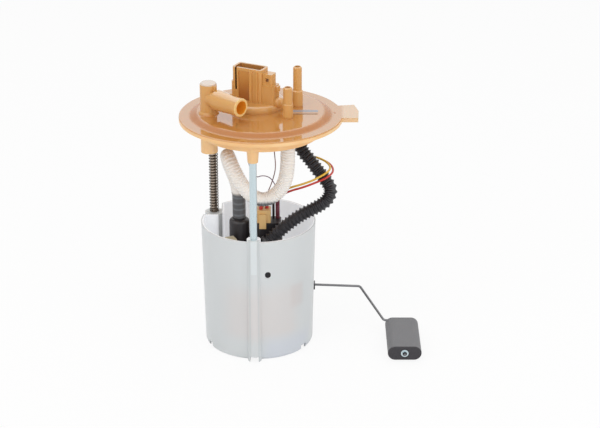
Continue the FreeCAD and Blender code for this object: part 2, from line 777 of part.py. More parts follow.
def make_end_bell():
    """The pump's outlet end, with the upper bearing, brush slots and outlet stub."""
    plug_r = pump_r - pump_wall - 0.02
    top = holder_top - 1.0
    body = turned([
        (0, pump_top - 3), (plug_r, pump_top - 3), (plug_r, pump_top), (pump_r, pump_top), (pump_r, top - 1.5),
        (pump_r - 1.5, top), (0, top)], holder_x)
    skirt = ring(plug_r, commutator_r + 8.5, pump_top - 11, pump_top - 2.9, holder_x)
    body = fused(body, skirt)
    body = body.cut(cyl(shaft_r + run_gap, pump_top - 4, top - 1.5, holder_x))
    return body.cut(cyl(2.2, pump_top - 4, top + 1, cap_x, cap_y))


def make_magnets():
    """Two arc magnets against the casing, one each side."""
    r_out = pump_r - pump_wall - 0.05
    z0 = core_bottom - 2
    z1 = core_top - 2
    shell = ring(r_out, r_out - magnet_thick, z0, z1, holder_x)
    arcs = []
    for side in (0, 180):
        half = math.radians(magnet_angle / 2)
        reach = 3 * pump_r
        wedge = slab([(0, 0), (reach * math.cos(half), -reach * math.sin(half)), (reach, -reach), (2 * reach, 0),
                      (reach, reach), (reach * math.cos(half), reach * math.sin(half))], z0, z1)
        wedge.rotate(V(0, 0, 0), UP, side)
        wedge.translate(V(holder_x, 0, 0))
        arcs.append(shell.common(wedge))
    return Part.makeCompound(arcs)


def make_armature():
    """The wound core: slots round a hub, with end turns above and below."""
    core = cyl(core_r, core_bottom, core_top, holder_x)
    for i in range(core_slots):
        slot = box(core_r - 4.0, core_r + 1, -0.9, 0.9, core_bottom - 1, core_top + 1)
        slot.rotate(V(0, 0, 0), UP, i * 360 / core_slots)
        slot.translate(V(holder_x, 0, 0))
        core = core.cut(slot)
    low = cyl(core_r - 3.2, core_bottom - 3, core_bottom, holder_x)
    low = low.makeFillet(1.4, [e for e in low.Edges if e.Closed and e.BoundBox.ZMax < core_bottom - 1])
    body = fused(core, low)
    return body.cut(cyl(shaft_r, 0, cup_height, holder_x))


def commutator_z():
    return pump_top - 4.0 - commutator_long


def make_commutator():
    bars = ring(commutator_r, shaft_r, commutator_z(), commutator_z() + commutator_long, holder_x)
    for i in range(core_slots):
        slot = box(commutator_r - 1.0, commutator_r + 1, -0.25, 0.25, commutator_z() - 1, commutator_z() + commutator_long + 1)
        slot.rotate(V(0, 0, 0), UP, (i + 0.5) * 360 / core_slots)
        slot.translate(V(holder_x, 0, 0))
        bars = bars.cut(slot)
    return bars


def make_shaft():
    top = holder_top - 3.0
    return cyl(shaft_r, pump_bottom, top, holder_x)


def make_impeller():
    z0 = pump_bottom + 4.25
    z1 = z0 + impeller_thick
    disc = ring(impeller_r, shaft_r, z0, z1, holder_x)
    for i in range(impeller_blades):
        gap = box(impeller_r - 3.0, impeller_r + 1, -1.3, 1.3, z0 - 1, z1 + 1)
        gap.rotate(V(0, 0, 0), UP, i * 360 / impeller_blades)
        gap.translate(V(holder_x, 0, 0))
        disc = disc.cut(gap)
    return disc


def make_brushes():
    """Two carbon brushes, each shaped to the commutator that it runs on."""
    z0 = commutator_z() + 1
    brushes = []
    for side in (0, 180):
        brush = box(commutator_r - 1, commutator_r + 0.1 + brush_long, -brush_wide / 2, brush_wide / 2, z0, z0 + brush_high)
        brush = brush.cut(cyl(commutator_r + 0.1, z0 - 1, z0 + brush_high + 1))
        brush.rotate(V(0, 0, 0), UP, side)
        brush.translate(V(holder_x, 0, 0))
        brushes.append(brush)
    return Part.makeCompound(brushes)


def make_brush_holders():
    """Boxes that guide the brushes, seated against the end bell's skirt."""
    z0 = commutator_z() + 1 - 1.0
    r_out = commutator_r + 8.0
    guides = []
    for side in (0, 180):
        guide = box(commutator_r + 1.5, r_out, -brush_wide / 2 - 1, brush_wide / 2 + 1, z0, pump_top - 3)
        slot = box(0, commutator_r + brush_long + 0.3, -brush_wide / 2 - 0.05, brush_wide / 2 + 0.05,
                   z0 + 0.95, z0 + 1.05 + brush_high)
        guide = guide.cut(slot)
        guide.rotate(V(0, 0, 0), UP, side)
        guide.translate(V(holder_x, 0, 0))
        guides.append(guide)
    return Part.makeCompound(guides)


def make_check_seat():
    """The valve seat pressed into the outlet cap."""
    seat = turned([(poppet_r - 1.2, holder_top + 2), (cap_bore_r, holder_top + 2), (cap_bore_r, holder_top + 5),
                   (poppet_r + 0.6, holder_top + 5)], cap_x, cap_y)
    return seat


def make_check_poppet():
    z0 = holder_top + 5 + 0.1
    return turned([(0, z0), (poppet_r - 0.6, z0), (poppet_r, z0 + 0.6), (poppet_r, z0 + 2.2),
                   (poppet_stem_r, z0 + 3.4), (poppet_stem_r, z0 + 7.0), (0, z0 + 7.0)], cap_x, cap_y)


def make_check_spring():
    """A light coil between the poppet's shoulder and the roof of the cap."""
    z0 = holder_top + 5 + 0.1 + 2.2 + 1.2
    z1 = cap_top - 3.2 - 0.4
    wire = 0.5
    coil_r = poppet_stem_r + 0.9
    coil = Part.Wire(Part.makeHelix((z1 - z0) / 5, z1 - z0, coil_r))
    half = wire / 2
    corners = [V(coil_r - half, 0, 0), V(coil_r, 0, -half), V(coil_r + half, 0, 0), V(coil_r, 0, half)]
    solid = coil.makePipeShell([Part.makePolygon(corners + corners[:1])], True, True)
    solid.translate(V(cap_x, cap_y, z0))
    return solid


def make_strainer():
    """A low bag of mesh on its frame, round the pump's inlet port, on the cup's floor."""
    bag = cyl(strainer_r, cup_floor_top, cup_floor_top + strainer_high, holder_x)
    bag = bag.makeFillet(2.2, [e for e in bag.Edges if e.Closed])
    return bag.cut(cyl(inlet_port_r + slip_gap, inlet_port_end - 0.5, holder_bottom + 2, holder_x))


def make_foot_valve():
    """A rubber umbrella valve: its stem holds in the floor, its cap lies on the floor."""
    z = cup_floor_top
    return turned([
        (0, cup_floor_z - 1.8), (foot_hole_r + 0.7, cup_floor_z - 1.8), (foot_hole_r + 0.7, cup_floor_z - 0.02),
        (foot_hole_r - 0.02, cup_floor_z - 0.02), (foot_hole_r - 0.02, z + 0.02), (foot_valve_r, z + 0.02),
        (foot_valve_r - 1.5, z + 1.4), (0, z + 2.2)], foot_valve_x, foot_valve_y)


def make_jet_pump():
    """The jet that fills the cup: a riser beside the holder and a nozzle body on the floor."""
    riser = cyl(jet_tube_r, cup_floor_top + 3, cover_top - 6, jet_x, jet_y)
    body = rod_between(jet_body_r, V(jet_x, jet_y - 12, cup_floor_top + jet_body_r), V(jet_x, jet_y + 8, cup_floor_top + jet_body_r))
    mixer = rod_between(jet_tube_r, V(jet_x, jet_y - 24, cup_floor_top + jet_body_r), V(jet_x, jet_y - 11, cup_floor_top + jet_body_r))
    clip = box(holder_x + holder_r * 0.93, jet_x, jet_y - 1.5, jet_y + 1.5, cover_top - 24, cover_top - 18)
    clip = clip.cut(cyl(holder_r + 0.05, 0, cup_height, holder_x))
    solid = fused(riser, body, mixer, clip)
    return solid.cut(rod_between(jet_tube_r - 1.2, V(jet_x, jet_y - 25, cup_floor_top + jet_body_r),
                                 V(jet_x, jet_y - 2, cup_floor_top + jet_body_r)))


def make_pump_connector():
    """The plug on the pump's terminals, with its latch tongue and lead cavities."""
    z0 = stand_top
    z1 = z0 + plug_high
    body = box(plug_x - plug_wide / 2, plug_x + plug_wide / 2, plug_y - plug_deep / 2, plug_y + plug_deep / 2, z0, z1)
    body = fillet_edges(body, 1.2, upright)
    tongue = slab([(plug_x - 3.4, plug_y - plug_deep / 2 - 1.6), (plug_x + 2.2, plug_y - plug_deep / 2 - 1.6),
                   (plug_x + 2.2, plug_y - plug_deep / 2 + 1), (plug_x - 3.4, plug_y - plug_deep / 2 + 1)],
                  z0 - plug_tongue, z1 - 3)
    body = fused(body, tongue)
    body = body.cut(box(stand_x0 - 0.1, stand_x1 + 0.1, stand_y0, stand_y1 + 0.1, z0 - plug_tongue - 1, z0))
    rib = box(plug_x - plug_wide / 2 + 2, plug_x - plug_wide / 2 + 3.2, plug_y - plug_deep / 2 - 0.7, plug_y, z0 + 1, z1 - 1)
    return fused(body, rib)


def make_lead_sleeve():
    return cyl(sleeve_r, stand_top, sleeve_top, sleeve_x, sleeve_y)


def make_sender_body():
    """The moulded frame on the cup's pad, with the pivot pin's bearing and a window for the card."""
    y0 = pad_y
    y1 = pad_y + sender_deep
    frame = box(sender_x0, sender_x1, y0, y1, sender_z0, sender_z1)
    frame = frame.makeFillet(3.0, [e for e in frame.Edges if e.BoundBox.YLength > sender_deep - 0.1])
    card_seat = box(sender_x0 + 2, sender_x1 - 2.6, y1 - card_thick, y1 + 1, pivot_z + 3.0, sender_z1 - 3)
    stop_z1 = pivot_z - hub_grip_low - loose_gap
    stop_x1 = pivot_x + hub_disc_r + 3.0
    stop_foot = box(sender_x1 - 1, stop_x1, y1 - 3, y1, stop_z1 - 2.7, stop_z1)
    stop_post = box(pivot_x + hub_disc_r + 0.7, stop_x1, y1 - 3, y1 + 3.2, stop_z1 - 2.7, stop_z1)
    frame = frame.cut(card_seat)
    pin = rod_between(pin_r, V(pivot_x, y1 - 1, pivot_z), V(pivot_x, y1 + hub_disc_deep + 0.9, pivot_z))
    return fused(frame, stop_foot, stop_post, pin)


def make_resistor_card():
    y1 = pad_y + sender_deep
    return box(sender_x0 + 2.1, sender_x1 - 2.7, y1 - card_thick, y1 - 0.05, pivot_z + 3.1, sender_z1 - 3.1)


def make_sender_hub():
    """The arm's moulded hub, which turns on the pivot pin and carries the wiper."""
    y0 = pad_y + sender_deep + 0.3
    y1 = y0 + hub_disc_deep
    disc = rod_between(hub_disc_r, V(pivot_x, y0, pivot_z), V(pivot_x, y1, pivot_z))
    carrier = box(pivot_x - 9.5, pivot_x + 4.5, y0, y1, pivot_z - 3, pivot_z + 3)
    carrier = carrier.makeFillet(1.5, [e for e in carrier.Edges if e.BoundBox.YLength > hub_disc_deep - 0.1])
    neck = box(pivot_x - 2.2, pivot_x + 2.2, y0, y1, pivot_z, pivot_z + 14)
    clip_block = box(pivot_x + 3, pivot_x + 15, y0, arm_y + arm_r + 1.2, pivot_z - hub_grip_low, pivot_z + 2.2)
    hub = fused(disc, carrier, neck, clip_block)
    hub = hub.cut(rod_between(pin_r + run_gap, V(pivot_x, y0 - 1, pivot_z), V(pivot_x, y1 + 1, pivot_z)))
    return hub.cut(rod_between(arm_r, V(pivot_x + 2, arm_y, pivot_z), V(arm_knee_x, arm_y, arm_knee_z)))


def make_wiper():
    """A forked contact under the hub's neck, close over the card's track."""
    y0 = pad_y + sender_deep
    fork = box(pivot_x - 3.4, pivot_x + 3.4, y0 + 0.05, y0 + 0.3, pivot_z + 9.6, pivot_z + 14)
    return fork.cut(box(pivot_x - 0.8, pivot_x + 0.8, y0, y0 + 1, pivot_z + 12, pivot_z + 15))


def arm_points():
    return [
        (pivot_x + 2, arm_y, pivot_z), (arm_knee_x, arm_y, arm_knee_z), (arm_low_x, arm_low_y, float_z + 0.6),
        (float_x, arm_low_y - 1.0, float_z), (float_x, arm_y_end, float_z),
    ]


def make_float_arm():
    """One bent wire from the hub to the float's axle, with the tight bends of a wire former."""
    stops = [V(*p) for p in arm_points()]
    bend = 3.0
    edges = []
    last = stops[0]
    for before, corner, after in zip(stops, stops[1:], stops[2:]):
        towards = (corner - before).normalize()
        away = (after - corner).normalize()
        turn = towards.getAngle(away)
        reach = bend * math.tan(turn / 2)
        start = corner - towards * reach
        finish = corner + away * reach
        middle = corner + (away - towards).normalize() * (bend / math.cos(turn / 2) - bend)
        edges.append(Part.LineSegment(last, start).toShape())
        edges.append(Part.Arc(start, middle, finish).toShape())
        last = finish
    edges.append(Part.LineSegment(last, stops[-1]).toShape())
    section = Part.Wire(Part.Circle(stops[0], stops[1] - stops[0], arm_r).toShape())
    return Part.Wire(edges).makePipeShell([section], True, False)


def make_float():
    """A closed stadium block, bored through for the arm, with a recess above the bore at its front."""
    flat = (float_wide - float_thick) / 2
    r = float_thick / 2
    y0 = float_front
    y1 = float_front + float_long
    core = box(float_x - flat, float_x + flat, y0, y1, float_z - r, float_z + r)
    ends = [rod_between(r, V(float_x + side * flat, y0, float_z), V(float_x + side * flat, y1, float_z)) for side in (-1, 1)]
    body = fused(core, *ends)
    body = body.makeFillet(0.9, [e for e in body.Edges if e.BoundBox.YLength < 0.01])
    body = body.cut(rod_between(arm_r + run_gap, V(float_x, y0 - 1, float_z), V(float_x, y1 + 1, float_z)))
    hollow = rod_between(nut_r + 0.5, V(float_x, y0 - 1, float_z), V(float_x, y0 + 1.2, float_z))
    return body.cut(hollow)


def make_push_nut():
    """The pressed cap that keeps the float on its arm."""
    y1 = float_front + 1.2 - 0.3
    nut = rod_between(nut_r, V(float_x, y1 - nut_thick, float_z), V(float_x, y1, float_z))
    dome = rod_between(nut_r * 0.62, V(float_x, y1 - nut_thick - 0.9, float_z), V(float_x, y1 - nut_thick, float_z))
    nut = fused(nut, dome)
    return nut.cut(rod_between(arm_r, V(float_x, y1 - 6, float_z), V(float_x, y1 + 1, float_z)))


def make_white_hose():
    hose = tube("white_hose", hose_r, WHITE_HOSE)
    hose = hose.cut(cyl(outlet_barb_r + slip_gap, WHITE_HOSE[0][2] - 1, outlet_barb_top + 0.5, cap_x, cap_y))
    return hose.cut(cyl(hose_barb_r + slip_gap, hose_barb_end - 0.5, WHITE_HOSE[-1][2] + 1, short_x, short_y))


def make_black_hose():
    hose = tube("black_hose", hose_r, BLACK_HOSE)
    start, away = return_axis()
    hose = hose.cut(rod_between(outlet_barb_r + slip_gap, start + away, start - away * 9.6))
    return hose.cut(cyl(hose_barb_r + slip_gap, hose_barb_end - 0.5, BLACK_HOSE[-1][2] + 1, tall_x, tall_y))


PIECES = {
    "reservoir": make_reservoir,
    "front_guide_rod": make_front_guide_rod,
    "side_guide_rod": make_side_guide_rod,
    "rod_clip": make_rod_clip,
    "pressure_spring": make_spring,
    "flange": make_flange,
    "socket_terminals": make_terminals,
    "blank_label": make_label,
    "pump_holder": make_holder,
    "holder_cover": make_holder_cover,
    "rubber_bumpers": make_rubber_bumpers,
    "pump_casing": make_pump_casing,
    "inlet_cover": make_inlet_cover,
    "chamber_plate": make_chamber_ring,
    "end_bell": make_end_bell,
    "field_magnets": make_magnets,
    "armature": make_armature,
    "commutator": make_commutator,
    "pump_shaft": make_shaft,
    "impeller": make_impeller,
    "brushes": make_brushes,
    "brush_guides": make_brush_holders,
    "check_valve_seat": make_check_seat,
    "check_valve_poppet": make_check_poppet,
    "check_valve_spring": make_check_spring,
    "inlet_strainer": make_strainer,
    "foot_valve": make_foot_valve,
    "jet_pump": make_jet_pump,
    "pump_connector": make_pump_connector,
    "lead_sleeve": make_lead_sleeve,
    "sender_body": make_sender_body,
    "resistor_card": make_resistor_card,
    "sender_hub": make_sender_hub,
    "wiper": make_wiper,
    "float_arm": make_float_arm,
    "float": make_float,
    "push_nut": make_push_nut,
    "white_hose": make_white_hose,
    "black_hose": make_black_hose,
    "yellow_lead": lambda: tube("yellow_lead", lead_r, YELLOW_LEAD),
    "red_lead": lambda: tube("red_lead", lead_r, RED_LEAD),
    "brown_lead": lambda: tube("brown_lead", fine_lead_r, BROWN_LEAD),
    "violet_lead": lambda: tube("violet_lead", fine_lead_r, VIOLET_LEAD),
}

for name, make in PIECES.items():
    shape = make()
    if not shape.isValid() or not shape.Solids:
        print("check", name, "valid", shape.isValid(), "solids", len(shape.Solids))
    shape.exportStep("parts/" + name + ".step")
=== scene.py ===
import json
import math

import bpy
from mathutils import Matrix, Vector


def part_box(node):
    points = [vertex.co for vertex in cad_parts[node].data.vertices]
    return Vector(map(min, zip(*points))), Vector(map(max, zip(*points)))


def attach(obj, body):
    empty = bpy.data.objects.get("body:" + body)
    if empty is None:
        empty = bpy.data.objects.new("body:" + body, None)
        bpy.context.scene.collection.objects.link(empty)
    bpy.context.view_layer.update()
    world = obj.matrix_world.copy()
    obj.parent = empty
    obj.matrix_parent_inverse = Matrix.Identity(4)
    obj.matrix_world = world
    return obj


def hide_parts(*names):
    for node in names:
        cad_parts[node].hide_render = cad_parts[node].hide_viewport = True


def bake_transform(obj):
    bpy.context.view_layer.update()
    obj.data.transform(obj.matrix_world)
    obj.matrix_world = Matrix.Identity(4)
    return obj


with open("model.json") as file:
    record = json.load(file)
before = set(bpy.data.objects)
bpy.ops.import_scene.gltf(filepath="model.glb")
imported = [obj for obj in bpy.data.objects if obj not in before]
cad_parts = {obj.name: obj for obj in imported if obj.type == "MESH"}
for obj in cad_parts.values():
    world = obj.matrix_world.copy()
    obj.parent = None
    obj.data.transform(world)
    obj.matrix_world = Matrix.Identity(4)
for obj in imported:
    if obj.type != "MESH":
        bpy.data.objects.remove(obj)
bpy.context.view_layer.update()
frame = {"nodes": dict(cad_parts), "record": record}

RESERVOIR = "reservoir_unit"
MM = 0.001

# Camera, as in the photograph
view_target = Vector((0.0338, 0.0, 0.110))
view_distance = 1.5
view_height = math.radians(23.2)
view_lens = 111.0

# Hoses and leads
hose_r = 5.9 * MM
lead_r = 0.85 * MM
fine_lead_r = 0.4 * MM

# The same routes as in the part's source, in millimetres until they are laid
cap_x, cap_y = -15.6, 4.0
tall_x, tall_y = 31.8, 10.4
short_x, short_y = 24.3, -16.5
sleeve_x, sleeve_y = 15.6, 6.4
plug_top = 115.0
sleeve_top = 121.6
lead_top = 188.45
WHITE_HOSE = [
    (cap_x, cap_y, 106.0), (cap_x, cap_y, 121.0), (-16.2, 5.6, 131.0), (-19.6, 8.6, 141.0),
    (-23.6, 9.0, 151.0), (-24.6, 3.6, 160.5), (-22.8, -6.0, 160.5), (-17.6, -12.4, 150.5),
    (-11.7, -13.6, 139.5), (-4.0, -12.6, 130.0), (6.0, -11.0, 126.6), (16.4, -11.4, 133.0),
    (22.6, -13.6, 145.0), (short_x, short_y, 162.0), (short_x, short_y, 184.0),
]
BLACK_HOSE = [
    (8.6, -15.3, 92.6), (16.1, -13.0, 99.8), (25.7, -11.0, 107.4), (36.2, -9.0, 114.2), (46.6, -7.2, 118.6),
    (56.0, -5.0, 124.0), (59.2, -2.0, 132.6), (54.0, 1.0, 140.0), (47.6, 4.0, 147.2), (41.8, 7.0, 154.6),
    (35.6, 9.4, 161.0), (tall_x, tall_y, 171.0), (tall_x, tall_y, 184.0),
]
YELLOW_LEAD = [
    (7.0, 1.0, plug_top), (7.0, 1.0, 119.6), (15.6, 4.2, 127.2), (25.8, -1.4, 133.8), (36.2, -6.0, 138.6),
    (45.8, -7.6, 143.2), (53.8, -6.2, 147.4), (58.8, 2.4, 148.6), (56.8, 13.0, 149.2), (50.0, 18.0, 151.6),
    (41.4, 18.6, 153.6), (31.0, 16.6, 158.0), (22.5, 14.0, 167.0), (12.0, 10.5, 175.0), (2.5, 6.7, 179.5),
    (2.5, 6.7, lead_top),
]
RED_LEAD = [
    (2.2, -1.6, plug_top), (2.2, -1.6, 119.0), (13.6, 1.0, 123.8), (25.6, -3.2, 131.6), (36.4, -7.6, 136.4),
    (46.0, -9.6, 141.2), (55.0, -9.2, 145.0), (61.2, 1.8, 146.4), (59.0, 14.0, 147.8), (50.6, 20.2, 150.4),
    (41.0, 20.8, 153.0), (30.0, 18.6, 159.6), (20.5, 16.5, 169.5), (9.0, 12.8, 177.5), (-1.0, 8.5, 181.0),
    (-1.0, 8.5, lead_top),
]
BROWN_LEAD = [
    (2.6, 3.0, plug_top), (2.6, 3.0, 120.0), (8.2, 5.0, 128.0), (11.6, 5.0, 137.0), (14.4, 5.0, 148.0),
    (13.4, 5.4, 160.0), (12.6, 4.6, 170.0), (8.6, 3.6, 177.5), (3.8, 2.7, 180.6), (3.8, 2.7, lead_top),
]
VIOLET_LEAD = [
    (sleeve_x, sleeve_y, sleeve_top), (sleeve_x, sleeve_y, 127.0), (13.4, 2.6, 135.6), (9.4, 2.0, 141.6),
    (3.2, 2.0, 143.0), (-1.6, 1.6, 141.0), (-6.0, 0.8, 148.0), (-8.2, 0.0, 159.0), (-8.8, 1.8, 169.0),
    (-11.0, 7.0, 177.5), (-12.2, 10.8, 181.0), (-12.2, 10.8, lead_top),
]


# Material kit
NO_LIGHT = (0.0, 0.0, 0.0, 1.0)
WHITE = (1.0, 1.0, 1.0, 1.0)


def paint(red, green, blue):
    """A colour given as 0 to 255 steps on screen, in the linear values that a shader takes."""
    linear = []
    for step in (red, green, blue):
        share = step / 255
        linear.append(share / 12.92 if share <= 0.04045 else ((share + 0.055) / 1.055) ** 2.4)
    return (*linear, 1.0)


class Field:
    """A number that varies over a surface. Arithmetic on it adds the Math nodes that work it out."""

    def __init__(self, finish, socket):
        self.finish = finish
        self.socket = socket

    def math(self, operation, first, second):
        made = self.finish.node("Math", {0: first, 1: second}, operation=operation)
        return Field(self.finish, made.outputs[0])

    def __add__(self, other):
        return self.math("ADD", self, other)

    __radd__ = __add__

    def __sub__(self, other):
        return self.math("SUBTRACT", self, other)

    def __rsub__(self, other):
        return self.math("SUBTRACT", other, self)

    def __mul__(self, other):
        return self.math("MULTIPLY", self, other)

    __rmul__ = __mul__

    def __abs__(self):
        return self.math("ABSOLUTE", self, 0.0)

    def __pow__(self, other):
        return self.math("POWER", self, other)

    def step(self, low, high):
        """0 below low, 1 above high and smooth between, or the other way round where low is above high."""
        made = self.finish.node("MapRange", {"Value": self, "From Min": low, "From Max": high},
                                interpolation_type="SMOOTHSTEP")
        return Field(self.finish, made.outputs["Result"])

    def band(self, start, full, fade, end):
        """0 outside start and end, 1 from full to fade, all four given in millimetres."""
        return self.step(start * MM, full * MM) * self.step(end * MM, fade * MM)


class Finish:
    """One material: its Principled shader, and short ways to the nodes that vary it."""

    def __init__(self, name, constants):
        self.material = bpy.data.materials.new(name)
        self.material.use_nodes = True
        self.tree = self.material.node_tree
        self.shader = self.tree.nodes["Principled BSDF"]
        self.place = self.node("TexCoord").outputs["Object"]
        split = self.node("SeparateXYZ", {"Vector": self.place})
        self.x, self.y, self.z = (Field(self, socket) for socket in split.outputs)
        for socket, value in constants.items():
            self.shader.inputs[socket].default_value = value

    def feed(self, socket, value):
        if isinstance(value, Field):
            value = value.socket
        if isinstance(value, bpy.types.NodeSocket):
            self.tree.links.new(value, socket)
        else:
            socket.default_value = value

    def node(self, kind, inputs=None, **settings):
        """Adds a shader node, its settings first and then the values or links of its inputs."""
        made = self.tree.nodes.new("ShaderNode" + kind)
        for setting, value in settings.items():
            setattr(made, setting, value)
        for socket, value in (inputs or {}).items():
            self.feed(made.inputs[socket], value)
        return made

    def stretched(self, x, y, z):
        """The place on the piece, scaled along each axis."""
        return self.node("VectorMath", {0: self.place, 1: (x, y, z)}, operation="MULTIPLY").outputs[0]

    def noise(self, scale, detail=3.0, place=None):
        made = self.node("TexNoise", {"Vector": place or self.place, "Scale": scale, "Detail": detail})
        return Field(self, made.outputs["Fac"])

    def cells(self, scale):
        made = self.node("TexVoronoi", {"Vector": self.place, "Scale": scale})
        return Field(self, made.outputs["Distance"])

    def facing_up(self):
        """1 where the surface faces up, 0 where it is upright, as the piece stands at rest."""
        normal = self.node("TexCoord").outputs["Normal"]
        split = self.node("SeparateXYZ", {"Vector": normal})
        return Field(self, split.outputs["Z"])

    def mixed(self, first, second, share):
        """Colour first where share is 0, second where it is 1."""
        made = self.node("Mix", {0: share, 6: first, 7: second}, data_type="RGBA")
        return made.outputs[2]

    def colour(self, value):
        self.feed(self.shader.inputs["Base Color"], value)

    def rough(self, value):
        self.feed(self.shader.inputs["Roughness"], value)

    def bump(self, height, distance, strength=1.0):
        made = self.node("Bump", {"Height": height, "Distance": distance, "Strength": strength})
        self.feed(self.shader.inputs["Normal"], made.outputs["Normal"])


# Places on the flange moulding that its finish follows. A row of four is a band in millimetres:
# where it begins, is full, starts to fade and ends.
plate_x = 2.7 * MM
plate_top = 196.3 * MM
plateau_top = 199.3 * MM
slope_band = (49.0, 52.0, 55.0, 58.0)
tab_x = 66.0 * MM
spout_at = Vector((-38.2, -6.4, 212.6)) * MM
spout_turn = math.radians(-42.8)
spout_bore_r = 5.2 * MM
spout_long = 36.2 * MM
spout_mouth_r = 7.4 * MM
column_r = 6.7 * MM
column_top = 223.6 * MM
socket_at = Vector((-5.5, 10.8, 232.3)) * MM
socket_turn = math.radians(-27.0)
socket_half_wide = 11.1 * MM
socket_half_deep = 4.6 * MM
socket_floor = 213.3 * MM
slit_wide = (-10.3, -10.2, -8.7, -8.6)
slit_deep = (-6.5, -6.3, 0.0, 0.1)
panel_wide = (-7.5, -7.3, 2.7, 2.9)
panel_deep = (-6.1, -5.9, -5.7, -5.5)
hub_top = 205.3 * MM


# Finishes of the plastic mouldings
def spout_masks(f):
    """1 inside the spout's bore, 1 on its rim, and 1 on top of its column: the places of a painted glow and
    of painted highlights.
    """
    across_x = f.x - spout_at.x
    across_y = f.y - spout_at.y
    along = across_x * math.cos(spout_turn) + across_y * math.sin(spout_turn)
    aside = across_y * math.cos(spout_turn) - across_x * math.sin(spout_turn)
    off = (aside ** 2.0 + (f.z - spout_at.z) ** 2.0) ** 0.5
    bore = off.step(spout_bore_r + 0.3 * MM, spout_bore_r + 0.1 * MM) * along.step(2.0 * MM, 9.0 * MM)
    rim = along.step(spout_long - 1.2 * MM, spout_long - 0.3 * MM) * (1 - bore)
    rim = rim * off.step(spout_mouth_r + 1.6 * MM, spout_mouth_r + 0.8 * MM)
    from_axis = (across_x ** 2.0 + across_y ** 2.0) ** 0.5
    # The column's top, where a painted highlight goes.
    cap_highlight = from_axis.step(column_r, column_r - 0.4 * MM)
    cap_highlight = cap_highlight * f.z.step(column_top - 1.0 * MM, column_top - 0.2 * MM)
    return bore, rim, cap_highlight


def socket_masks(f):
    """1 in the slit, 1 inside the socket, and 1 on the recessed panels of its front: the places of painted
    shade.
    """
    across_x = f.x - socket_at.x
    across_y = f.y - socket_at.y
    u = across_x * math.cos(socket_turn) + across_y * math.sin(socket_turn)
    v = across_y * math.cos(socket_turn) - across_x * math.sin(socket_turn)
    tall = f.z.step(socket_floor + 0.3 * MM, socket_floor + 0.8 * MM)
    slit = u.band(*slit_wide) * v.band(*slit_deep) * tall
    inside = abs(u).step(socket_half_wide + 0.3 * MM, socket_half_wide)
    inside = inside * abs(v).step(socket_half_deep + 0.3 * MM, socket_half_deep)
    inside = inside * f.z.step(socket_floor - 0.2 * MM, socket_floor)
    panel = v.band(*panel_deep) * u.band(*panel_wide)
    return slit, inside, panel


def amber_plastic():
    """Glossy amber acetal: a mirror-like plate, deep upright posts, and a skirt below painted pale as
    painted light, with painted shade, painted highlights and a painted glow on the socket and spout.
    """
    f = Finish("amber_acetal", {"Roughness": 0.16, "IOR": 1.5, "Subsurface Weight": 0.12,
               "Subsurface Radius": (0.9, 0.45, 0.18), "Subsurface Scale": 0.004, "Coat Roughness": 0.03,
               "Coat IOR": 2.1, "Specular IOR Level": 0.3, "Emission Strength": 0.6})
    flow = f.noise(34.0, 4.0)
    fine = f.noise(420.0, 2.0)
    reach = ((f.x - plate_x) ** 2.0 + f.y ** 2.0) ** 0.5
    up = f.facing_up().step(0.55, 0.93)
    over = f.z.step(plate_top - 1.4 * MM, plate_top - 0.2 * MM)
    post = f.z.step(plateau_top + 0.2 * MM, plateau_top + 2.0 * MM)
    slope = reach.band(*slope_band)
    tab = f.x.step(tab_x, tab_x + 3.0 * MM)
    bore, rim, cap_highlight = spout_masks(f)
    slit, inside, panel = socket_masks(f)
    # Painted light: the skirt and the plate's sides are painted paler than its top, for the light that
    # falls on them.
    base = f.mixed(paint(238, 190, 132), paint(244, 204, 150), flow.step(0.4, 0.7))
    base = f.mixed(base, paint(196, 136, 68), over * (0.9 + flow * 0.1))
    # Painted shade on the slope round the plateau.
    base = f.mixed(base, paint(182, 112, 44), slope * over * 0.9)
    # Painted light: the upright posts are painted lighter than the plate's top.
    base = f.mixed(base, paint(214, 162, 94), post * (0.75 + flow * 0.3))
    # Painted shade: the recessed panels of the socket's front darken towards their foot.
    lower = f.z.step(socket_at.z, hub_top)
    base = f.mixed(base, f.mixed(paint(206, 148, 78), paint(156, 88, 36), lower), panel * 0.85)
    base = f.mixed(base, paint(222, 186, 144), tab * 0.85)
    # Painted shade inside the socket.
    base = f.mixed(base, paint(164, 106, 54), inside * 0.8)
    # Painted highlight on the spout's rim.
    base = f.mixed(base, paint(236, 200, 134), rim * 0.85)
    # Painted highlight on top of the spout's column.
    base = f.mixed(base, paint(216, 202, 188), cap_highlight * 0.9)
    # Painted glow in the spout's bore: painted bright here, and lit by emission below.
    base = f.mixed(base, paint(206, 134, 40), bore)
    # Painted shade: the slit is painted near black.
    f.colour(f.mixed(base, paint(14, 8, 6), slit))
    f.feed(f.shader.inputs["Emission Color"], f.mixed(NO_LIGHT, paint(132, 84, 16), bore))
    mirror = up * over * (1 - slit) * (1 - slope * 0.92)
    f.rough(0.26 + flow * 0.12 - mirror * 0.2)
    f.feed(f.shader.inputs["Coat Weight"], 0.12 + mirror * 0.88 - slit * 0.12)
    f.bump((flow * 0.7 + fine * 0.06) * (1 - mirror * 0.9), 0.00008, 0.3)
    return f.material


# Places on the cup that its finish follows, with bands as on the flange
rod_x = -2.8 * MM
rod_front = -38.0 * MM
wall_mid_r = 43.2 * MM
wall_lean = 2.3 / 105.0
inner_wall_from, inner_wall_full = 6.5 * MM, 30.0 * MM
recess_x, recess_y = -29.9 * MM, 10.9 * MM
front_from, front_full = -12.0 * MM, -26.0 * MM
cool_from_x, cool_full_x = -2.0 * MM, 12.0 * MM
cool_from_z, cool_full_z = 26.0 * MM, 9.0 * MM
pump_wide = (-34.0, -16.0, 24.0, 37.0)
pump_tall = (12.0, 26.0, 52.0, 74.0)
dark_wide = (24.0, 29.0, 34.0, 38.0)
dark_tall = (40.0, 47.0, 60.0, 66.0)
rod_end = 78.8 * MM
rod_half = 2.2 * MM
rod_edge_band = (2.4, 3.2, 3.7, 4.4)


